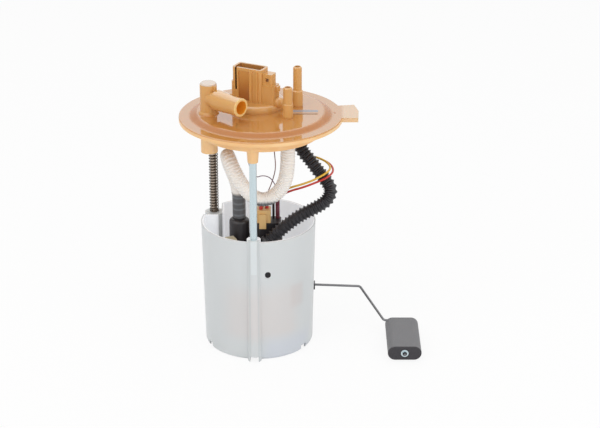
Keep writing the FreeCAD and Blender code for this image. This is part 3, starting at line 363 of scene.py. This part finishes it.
def cup_plastic():
    """Milky polyethylene with a painted glow on its inner wall, and faint tints of the rod and pump behind
    its wall.
    """
    f = Finish("milky_cup", {"Roughness": 0.34, "IOR": 1.5, "Subsurface Weight": 0.25,
               "Subsurface Radius": (1.0, 0.95, 0.9), "Subsurface Scale": 0.006, "Specular IOR Level": 0.4,
               "Emission Strength": 0.42})
    cloud = f.noise(22.0, 3.0)
    grain = f.noise(900.0, 2.0)
    reach = (f.x ** 2.0 + f.y ** 2.0) ** 0.5
    depth = reach - f.z * wall_lean - wall_mid_r
    recess = f.x.step(recess_x + 0.2 * MM, recess_x - 0.2 * MM)
    recess = recess * f.y.step(recess_y - 0.2 * MM, recess_y + 0.2 * MM)
    # The cup's inner wall, which gets a painted glow.
    inner_glow = depth.step(0.4 * MM, -0.4 * MM) * (1 - recess) * f.z.step(inner_wall_from, inner_wall_full)
    front = f.y.step(front_from, front_full) * (1 - inner_glow)
    warm = front * f.z.band(*pump_tall) * f.x.band(*pump_wide)
    cool = front * f.z.step(cool_from_z, cool_full_z) * f.x.step(cool_from_x, cool_full_x)
    dark = front * f.x.band(*dark_wide) * f.z.band(*dark_tall)
    side = abs(f.x - rod_x)
    over_rod = f.y.step(rod_front, rod_front - 4.0 * MM)
    rod = over_rod * f.z.step(rod_end - 1.3 * MM, rod_end) * side.step(rod_half + 0.4 * MM, rod_half)
    rod_edge = over_rod * side.band(*rod_edge_band)
    base = f.mixed(paint(207, 211, 212), paint(216, 219, 221), cloud * 0.5)
    base = f.mixed(base, paint(214, 205, 202), warm * (0.35 + cloud * 0.3))
    base = f.mixed(base, paint(201, 206, 218), cool * 0.55)
    base = f.mixed(base, paint(206, 197, 195), dark * 0.45)
    base = f.mixed(base, paint(220, 227, 229), rod * 0.7)
    base = f.mixed(base, paint(184, 191, 193), rod_edge * 0.4)
    f.colour(base)
    # Painted glow: the inner wall is given emission, though it is no lamp.
    f.feed(f.shader.inputs["Emission Color"], f.mixed(NO_LIGHT, paint(228, 228, 233), inner_glow))
    f.rough(0.3 + cloud * 0.14)
    f.bump(cloud * 0.6 + grain * 0.05, 0.00012, 0.45)
    return f.material


def moulded(name, colour, fleck, roughness, grain_size=1400.0):
    """Plain moulded plastic with a fine spark grain and slightly uneven gloss."""
    f = Finish(name, {"Roughness": roughness, "IOR": 1.5})
    grain = f.noise(grain_size, 3.0)
    patch = f.noise(60.0, 3.0)
    f.colour(f.mixed(paint(*colour), paint(*fleck), patch * 0.5 + grain * 0.3))
    f.rough(roughness - 0.08 + patch * 0.16 + grain * 0.06)
    f.bump(grain, 0.00004, 0.6)
    return f.material


# Places on the smaller pieces that their finishes follow
label_band_y = -5.2 * MM
label_foot_y = -8.7 * MM
float_end_y = -46.0 * MM
coil_side_x = -20.0 * MM
coil_bottom = 104.0 * MM
core_bottom = 38.5 * MM
track_tall = (38.0, 38.6, 49.4, 50.0)
barb_shown_top = 129.0 * MM
barb_side_x = -16.0 * MM


def label_film():
    """A bare strip of clear film with a blue grey band, and a thin dark line of painted shadow at its foot.
    """
    f = Finish("bare_film", {"Roughness": 0.22})
    sheen = f.noise(90.0, 2.0, f.stretched(1.0, 6.0, 1.0))
    band = f.y.step(label_band_y - 0.2 * MM, label_band_y + 0.2 * MM)
    # Painted shadow: a thin dark line at the film's foot, where the raised strip casts it.
    line = f.y.step(label_foot_y + 0.3 * MM, label_foot_y + 0.1 * MM)
    clear = f.mixed(paint(204, 158, 118), paint(214, 172, 134), sheen)
    base = f.mixed(clear, f.mixed(paint(150, 150, 158), paint(172, 168, 172), sheen), band)
    # The painted shadow line goes on last.
    f.colour(f.mixed(base, paint(120, 104, 100), line))
    f.rough(0.12 + sheen * 0.12)
    f.bump(sheen, 0.00003, 0.3)
    return f.material


# Finishes of the rubber and foam
def float_foam():
    """Closed cell foam: a fine pebbled skin, darker on the cut ends."""
    f = Finish("float_foam", {"Roughness": 0.62, "IOR": 1.45})
    pebble = f.cells(1500.0)
    patch = f.noise(70.0, 4.0)
    end = f.y.step(float_end_y, float_end_y - 0.8 * MM)
    skin = f.mixed(paint(106, 106, 109), paint(128, 128, 130), patch * 0.7 + pebble * 0.3)
    f.colour(f.mixed(skin, paint(56, 54, 58), end))
    f.rough(0.5 + patch * 0.2)
    f.bump(pebble * 0.7 + patch * 0.3, 0.00008, 0.7)
    return f.material


def rubber(name, colour, bloom, roughness=0.6):
    """Moulded rubber with a dusty bloom."""
    f = Finish(name, {"Roughness": roughness, "IOR": 1.48})
    dust = f.noise(160.0, 5.0)
    f.colour(f.mixed(paint(*colour), paint(*bloom), dust.step(0.35, 0.75) * 0.8))
    f.rough(roughness - 0.1 + dust * 0.2)
    f.bump(dust, 0.00006, 0.6)
    return f.material


# Finishes of the metals
def zinc_painted_shade(f, base):
    """Painted shade: browner on the rod inside the spring, and dark in the eye of the push nut."""
    nut_low, nut_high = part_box("push_nut")
    middle = (nut_low + nut_high) / 2
    nut_r = (nut_high.z - nut_low.z) / 2
    # Painted shade on the rod inside the spring, browner there.
    spring_shade = f.x.step(coil_side_x, coil_side_x - 6.0 * MM) * f.z.step(coil_bottom, coil_bottom + 1.5 * MM)
    off = ((f.x - middle.x) ** 2.0 + (f.z - middle.z) ** 2.0) ** 0.5
    base = f.mixed(base, paint(186, 166, 148), spring_shade * 0.9)
    # Painted shade: the eye of the push nut is painted dark.
    return f.mixed(base, paint(58, 58, 62), off.step(nut_r * 0.66, nut_r * 0.54))


def plated(name, colour, shade, roughness, along=(1.0, 1.0, 0.06), tint=None):
    """Plated or drawn metal with fine streaks along its length."""
    f = Finish(name, {"Metallic": 1.0, "Roughness": roughness})
    streak = f.noise(2600.0, 2.0, f.stretched(*along))
    cloud = f.noise(48.0, 3.0)
    base = f.mixed(paint(*colour), paint(*shade), streak * 0.4 + cloud * 0.4)
    f.colour(tint(f, base) if tint else base)
    f.rough(roughness - 0.06 + streak * 0.12 + cloud * 0.08)
    f.bump(streak, 0.00002, 0.5)
    return f.material


def sintered(name, colour, speck):
    """Pressed powder, such as ferrite or carbon."""
    f = Finish(name, {"Roughness": 0.7})
    grit = f.cells(2200.0)
    f.colour(f.mixed(paint(*colour), paint(*speck), grit.step(0.2, 0.8)))
    f.rough(0.6 + grit * 0.2)
    f.bump(grit, 0.00005, 0.7)
    return f.material


def wound_core():
    """Steel laminations, with enamelled wire at the lower end."""
    f = Finish("wound_core", {"Metallic": 0.6, "Roughness": 0.4})
    sheet = f.node("TexWave", {"Vector": f.place, "Scale": 320.0, "Distortion": 0.2}, bands_direction="Z")
    wire = f.noise(900.0, 2.0)
    layers = Field(f, sheet.outputs["Fac"])
    windings = f.z.step(core_bottom + 1.0 * MM, core_bottom)
    f.colour(f.mixed(paint(96, 94, 92), paint(150, 82, 44), windings * 0.9 + wire * 0.1))
    f.rough(0.3 + layers * 0.25)
    f.bump(layers, 0.00006, 0.6)
    return f.material


def woven_strainer():
    """Fine woven mesh over the strainer bag."""
    f = Finish("strainer_weave", {"Roughness": 0.7})
    across = f.node("TexWave", {"Vector": f.place, "Scale": 500.0}, bands_direction="X")
    down = f.node("TexWave", {"Vector": f.place, "Scale": 500.0}, bands_direction="Y")
    weave = Field(f, across.outputs["Fac"]) * Field(f, down.outputs["Fac"])
    f.colour(f.mixed(paint(176, 176, 168), paint(226, 226, 220), weave))
    f.rough(0.75 - weave * 0.15)
    f.bump(weave, 0.0001, 0.8)
    return f.material


def resistor_ceramic():
    """A white ceramic card with a dark printed track of bars."""
    f = Finish("resistor_ceramic", {"Roughness": 0.45})
    bars = f.node("TexWave", {"Vector": f.place, "Scale": 110.0}, bands_direction="X")
    track = Field(f, bars.outputs["Fac"]).step(0.45, 0.6) * f.z.band(*track_tall)
    f.colour(f.mixed(paint(226, 224, 214), paint(60, 58, 56), track))
    f.rough(0.5 - track * 0.15)
    f.bump(track, 0.00004, 0.5)
    return f.material


# Finishes of the hoses and leads
def milky_hose():
    """Milky nylon, with the black barb showing grey through the lower end."""
    f = Finish("milky_hose", {"Roughness": 0.38, "IOR": 1.5, "Subsurface Weight": 0.35,
               "Subsurface Radius": (1.0, 0.92, 0.82), "Subsurface Scale": 0.004})
    cloud = f.noise(70.0, 3.0)
    ribs = f.node("TexWave", {"Vector": f.place, "Scale": 62.0, "Distortion": 1.2}, bands_direction="Z")
    over_barb = f.z.step(barb_shown_top, barb_shown_top - 4.0 * MM)
    crests = Field(f, ribs.outputs["Fac"]).step(0.55, 1.0)
    lit_side = f.x.step(barb_side_x, barb_side_x + 6.0 * MM)
    grey = f.mixed(paint(64, 65, 69), paint(112, 117, 124), crests * 0.6 + lit_side * 0.4)
    base = f.mixed(paint(238, 231, 223), paint(245, 241, 236), cloud)
    f.colour(f.mixed(base, grey, over_barb * 0.96))
    f.rough(0.34 + cloud * 0.12)
    f.bump(cloud, 0.00005, 0.4)
    return f.material


def black_nylon():
    """Corrugated black nylon, a little dusty on its crests."""
    f = Finish("black_nylon", {"Roughness": 0.36, "IOR": 1.52})
    dust = f.noise(180.0, 4.0)
    f.colour(f.mixed(paint(31, 29, 33), paint(58, 55, 60), dust.step(0.45, 0.8)))
    f.rough(0.28 + dust * 0.24)
    f.bump(dust, 0.00004, 0.4)
    return f.material


def insulation(name, colour, shade):
    """Glossy wire insulation, slightly uneven along its length."""
    f = Finish(name, {"Roughness": 0.34, "IOR": 1.5})
    drift = f.noise(140.0, 3.0)
    f.colour(f.mixed(paint(*colour), paint(*shade), drift.step(0.3, 0.75)))
    f.rough(0.28 + drift * 0.16)
    f.bump(drift, 0.00003, 0.4)
    return f.material


FINISHES = {
    "amber_plastic": amber_plastic(),
    "white_plastic": cup_plastic(),
    "black_plastic": moulded("black_moulding", (30, 27, 29), (52, 48, 50), 0.36),
    "grey_plastic": moulded("grey_moulding", (72, 74, 78), (92, 94, 98), 0.45),
    "tan_plastic": moulded("tan_moulding", (222, 178, 112), (234, 198, 140), 0.34),
    "sender_plastic": moulded("sender_moulding", (44, 44, 47), (62, 62, 66), 0.42),
    "label_film": label_film(),
    "beige_rubber": rubber("beige_rubber", (186, 178, 152), (206, 200, 178)),
    "foot_rubber": rubber("valve_rubber", (52, 56, 74), (78, 82, 98)),
    "maroon_sleeve": rubber("maroon_sleeve", (104, 36, 52), (150, 84, 100), 0.45),
    "float_foam": float_foam(),
    "bright_zinc": plated("bright_zinc", (208, 222, 226), (196, 212, 218), 0.24, tint=zinc_painted_shade),
    "spring_steel": plated("spring_wire", (98, 88, 76), (66, 58, 50), 0.34, (1.0, 1.0, 1.0)),
    "arm_steel": plated("drawn_wire", (132, 132, 134), (98, 98, 102), 0.32, (0.06, 0.06, 1.0)),
    "casing_steel": plated("casing_steel", (188, 190, 192), (150, 152, 156), 0.3, (1.0, 1.0, 1.0)),
    "brass": plated("bright_brass", (214, 178, 98), (184, 146, 72), 0.28, (1.0, 1.0, 1.0)),
    "copper": plated("bare_copper", (206, 134, 92), (176, 104, 66), 0.3, (1.0, 1.0, 1.0)),
    "magnet": sintered("ferrite", (52, 52, 56), (76, 76, 80)),
    "carbon": sintered("brush_carbon", (40, 40, 42), (64, 62, 62)),
    "winding_core": wound_core(),
    "strainer_mesh": woven_strainer(),
    "card_ceramic": resistor_ceramic(),
    "white_hose": milky_hose(),
    "black_hose": black_nylon(),
    "yellow_lead": insulation("yellow_insulation", (232, 186, 52), (244, 208, 92)),
    "red_lead": insulation("red_insulation", (184, 40, 38), (210, 66, 54)),
    "brown_lead": insulation("brown_insulation", (112, 62, 60), (146, 96, 90)),
    "violet_lead": insulation("violet_insulation", (122, 96, 124), (150, 128, 150)),
}

for row in frame["record"]["subparts"]:
    node = frame["nodes"][row["node"]]
    node.data.materials.clear()
    node.data.materials.append(FINISHES[row["material_slot"]])


# Mesh kit
hose_sides, lead_sides, seal_sides, coil_sides = 40, 12, 20, 8
steps_per_rib = 10
steps_per_turn = 20
hose_mouth = 0.93
saw_crest = 0.7
closed_turn_climb = 0.3


def piece(name, vertices, faces, slot):
    """A smooth mesh piece in the finish of a material slot."""
    mesh = bpy.data.meshes.new(name)
    mesh.from_pydata(vertices, [], faces)
    mesh.validate()
    mesh.shade_smooth()
    mesh.materials.append(FINISHES[slot])
    made = bpy.data.objects.new(name, mesh)
    bpy.context.scene.collection.objects.link(made)
    return made


def smooth_line(name, route, spacing):
    """Points that far apart on the NURBS curve whose control points are the route's."""
    curve = bpy.data.curves.new(name + "_line", "CURVE")
    curve.dimensions = "3D"
    spline = curve.splines.new("NURBS")
    spline.points.add(len(route) - 1)
    for point, place in zip(spline.points, route):
        point.co = (*(Vector(place) * MM), 1.0)
    spline.order_u = 3
    spline.use_endpoint_u = True
    spline.resolution_u = 24
    holder = bpy.data.objects.new(name + "_line", curve)
    mesh = bpy.data.meshes.new_from_object(holder)
    points = [vertex.co.copy() for vertex in mesh.vertices]
    bpy.data.objects.remove(holder)
    bpy.data.meshes.remove(mesh)
    return even_points(points, spacing)


def even_points(points, spacing):
    """The same line with its points that far apart."""
    lengths = [0.0]
    for first, second in zip(points, points[1:]):
        lengths.append(lengths[-1] + (second - first).length)
    count = max(2, round(lengths[-1] / spacing))
    even = []
    at = 0
    for i in range(count + 1):
        goal = lengths[-1] * i / count
        while at < len(points) - 2 and lengths[at + 1] < goal:
            at += 1
        share = (goal - lengths[at]) / max(lengths[at + 1] - lengths[at], 1e-9)
        even.append(points[at].lerp(points[at + 1], min(share, 1.0)))
    return even


def frames_along(points):
    """A pair of directions across the line at each point, carried along it without twist."""
    tangents = []
    for i in range(len(points)):
        before = points[max(i - 1, 0)]
        after = points[min(i + 1, len(points) - 1)]
        tangents.append((after - before).normalized())
    side = tangents[0].orthogonal().normalized()
    pairs = []
    for tangent in tangents:
        side = (side - tangent * side.dot(tangent)).normalized()
        pairs.append((side, tangent.cross(side)))
    return pairs


def tube_mesh(points, radii, around):
    """Rings of that many points round the line, closed by a fan at each end."""
    vertices = []
    for point, radius, (side, up) in zip(points, radii, frames_along(points)):
        for i in range(around):
            angle = 2 * math.pi * i / around
            vertices.append(point + (side * math.cos(angle) + up * math.sin(angle)) * radius)
    faces = []
    for ring in range(len(points) - 1):
        for i in range(around):
            first = ring * around + i
            second = ring * around + (i + 1) % around
            faces.append((first, second, second + around, first + around))
    last = (len(points) - 1) * around
    faces.append(tuple(range(around - 1, -1, -1)))
    faces.append(tuple(range(last, last + around)))
    return vertices, faces


def saw_rib(share):
    """A rib that rises slowly and drops back quickly, from 0 in the groove to 1 on the crest."""
    return share / saw_crest if share < saw_crest else (1 - share) / (1 - saw_crest)


def spiked_rib(share):
    """A narrow upright rib with a wider groove beside it."""
    return max(0.0, 1 - abs(share - 0.5) / 0.36) ** 0.8


def corrugated_hose(name, node, route, pitch, root, rib, cuffs):
    """A hose whose wall rises and falls between its two plain cuffs."""
    spacing = pitch / steps_per_rib
    points = smooth_line(name, route, spacing)
    length = spacing * (len(points) - 1)
    start_cuff, end_cuff = cuffs
    radii = []
    for i in range(len(points)):
        along = i * length / (len(points) - 1)
        ribbed = start_cuff < along < length - end_cuff
        wave = rib((along - start_cuff) / pitch % 1.0) if ribbed else 0.0
        radii.append(root + (hose_r - root) * wave)
    radii[0] *= hose_mouth
    radii[-1] *= hose_mouth
    made = piece(name, *tube_mesh(points, radii, hose_sides), node)
    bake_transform(made)
    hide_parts(node)


def lead(name, route, radius):
    """An insulated wire on its route."""
    points = smooth_line(name + "_wire", route, radius * 1.2)
    made = piece(name + "_wire", *tube_mesh(points, [radius] * len(points), lead_sides), name)
    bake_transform(made)
    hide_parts(name)


def wire_seal(name, foot):
    """A ribbed red rubber seal round a lead where it enters the connector."""
    heights = (0.05, 0.5, 0.8, 1.1, 1.4, 1.7, 2.0, 2.5)
    radii = (1.5, 1.5, 1.25, 1.5, 1.25, 1.5, 1.3, 1.05)
    line = [foot + Vector((0, 0, height * MM)) for height in heights]
    made = piece(name, *tube_mesh(line, [radius * MM for radius in radii], seal_sides), "red_lead")
    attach(made, RESERVOIR)


def coil_points(centre, radius, bottom, top, turns):
    """A compression spring's line, with a closed turn at each end that climbs only a little."""
    climb = radius * closed_turn_climb
    points = []
    for i in range(turns * steps_per_turn + 1):
        turn = i / steps_per_turn
        angle = 2 * math.pi * turn
        share = (turn - 1) / (turns - 2)
        rise = min(max(share, 0.0), 1.0)
        closed = min(turn, 1.0) + max(turn - (turns - 1), 0.0)
        z = bottom + closed * climb + rise * (top - bottom - 2 * climb)
        points.append(Vector((centre.x + radius * math.cos(angle), centre.y + radius * math.sin(angle), z)))
    return points


def coil(name, node, wire_r, turns):
    """A round wire spring in the place of its CAD helix, its ends on the bodies foot and head."""
    low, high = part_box(node)
    centre = (low + high) / 2
    radius = (high.x - low.x) / 2 - wire_r
    points = coil_points(centre, radius, low.z + wire_r, high.z - wire_r, turns)
    made = piece(name, *tube_mesh(points, [wire_r] * len(points), coil_sides), "spring_steel")
    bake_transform(made)
    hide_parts(node)


corrugated_hose("delivery_hose", "white_hose", WHITE_HOSE, 2.3 * MM, 5.35 * MM, saw_rib, (20 * MM, 4 * MM))
corrugated_hose("return_hose", "black_hose", BLACK_HOSE, 3.3 * MM, 4.5 * MM, spiked_rib, (1 * MM, 6 * MM))
lead("yellow_lead", YELLOW_LEAD, lead_r)
lead("red_lead", RED_LEAD, lead_r)
lead("brown_lead", BROWN_LEAD, fine_lead_r)
lead("violet_lead", VIOLET_LEAD, fine_lead_r)
for name, lead_line in (("yellow_seal", YELLOW_LEAD), ("red_seal", RED_LEAD), ("brown_seal", BROWN_LEAD)):
    wire_seal(name, Vector(lead_line[0]) * MM)
coil("pressure_coil", "pressure_spring", 0.42 * MM, 33)
coil("valve_coil", "check_valve_spring", 0.25 * MM, 5)


# Studio
floor_half = 4.0
floor_glow = 0.88
world_strength = 0.52


def white_floor():
    """A pale floor that keeps the object's soft shadow and is white to the camera elsewhere."""
    mesh = bpy.data.meshes.new("floor")
    corners = [(x * floor_half, y * floor_half, 0) for x, y in ((-1, -1), (1, -1), (1, 1), (-1, 1))]
    mesh.from_pydata(corners, [], [(0, 1, 2, 3)])
    floor = bpy.data.objects.new("floor", mesh)
    bpy.context.scene.collection.objects.link(floor)
    f = Finish("floor_white", {"Roughness": 0.9})
    f.colour(paint(244, 244, 244))
    path = f.node("LightPath")
    seen = Field(f, path.outputs["Is Camera Ray"]) + Field(f, path.outputs["Is Glossy Ray"])
    seen = (seen + Field(f, path.outputs["Is Transmission Ray"])) * floor_glow
    glow = f.node("Emission", {"Color": WHITE, "Strength": 1.0})
    both = f.node("MixShader", {0: seen, 1: f.shader.outputs[0], 2: glow.outputs[0]})
    f.tree.links.new(both.outputs[0], f.tree.nodes["Material Output"].inputs["Surface"])
    mesh.materials.append(f.material)


def studio_world():
    """Even white light, and plain white where the camera or a gloss looks past the object."""
    world = bpy.data.worlds.new("studio")
    world.use_nodes = True
    bpy.context.scene.world = world
    tree = world.node_tree
    background = tree.nodes["Background"]
    background.inputs["Color"].default_value = WHITE
    path = tree.nodes.new("ShaderNodeLightPath")
    shown = path.outputs["Is Camera Ray"]
    for ray in ("Is Glossy Ray", "Is Transmission Ray"):
        both = tree.nodes.new("ShaderNodeMath")
        both.operation = "MAXIMUM"
        tree.links.new(shown, both.inputs[0])
        tree.links.new(path.outputs[ray], both.inputs[1])
        shown = both.outputs[0]
    strength = tree.nodes.new("ShaderNodeMapRange")
    strength.inputs["To Min"].default_value = world_strength
    strength.inputs["To Max"].default_value = 1.0
    tree.links.new(shown, strength.inputs["Value"])
    tree.links.new(strength.outputs["Result"], background.inputs["Strength"])


def softbox(name, place, width, height, power):
    """A rectangular lamp that looks at the object."""
    lamp = bpy.data.lights.new(name, "AREA")
    lamp.shape = "RECTANGLE"
    lamp.size = width
    lamp.size_y = height
    lamp.energy = power
    made = bpy.data.objects.new(name, lamp)
    made.location = place
    made.rotation_euler = (view_target - Vector(place)).to_track_quat("-Z", "Y").to_euler()
    bpy.context.scene.collection.objects.link(made)


def camera():
    lens = bpy.data.cameras.new("camera")
    lens.lens = view_lens
    lens.clip_start = 0.05
    made = bpy.data.objects.new("camera", lens)
    away = Vector((0, -math.cos(view_height), math.sin(view_height)))
    made.location = view_target + away * view_distance
    made.rotation_euler = (-away).to_track_quat("-Z", "Y").to_euler()
    bpy.context.scene.collection.objects.link(made)
    bpy.context.scene.camera = made


white_floor()
studio_world()
softbox("key", (-0.7, -0.9, 1.1), 1.7, 1.6, 9.5)
softbox("fill", (0.9, -0.8, 0.5), 1.4, 1.2, 5.2)
softbox("top", (0.1, 0.5, 1.3), 2.4, 1.8, 7.0)
camera()
bpy.context.scene.view_settings.view_transform = "Standard"
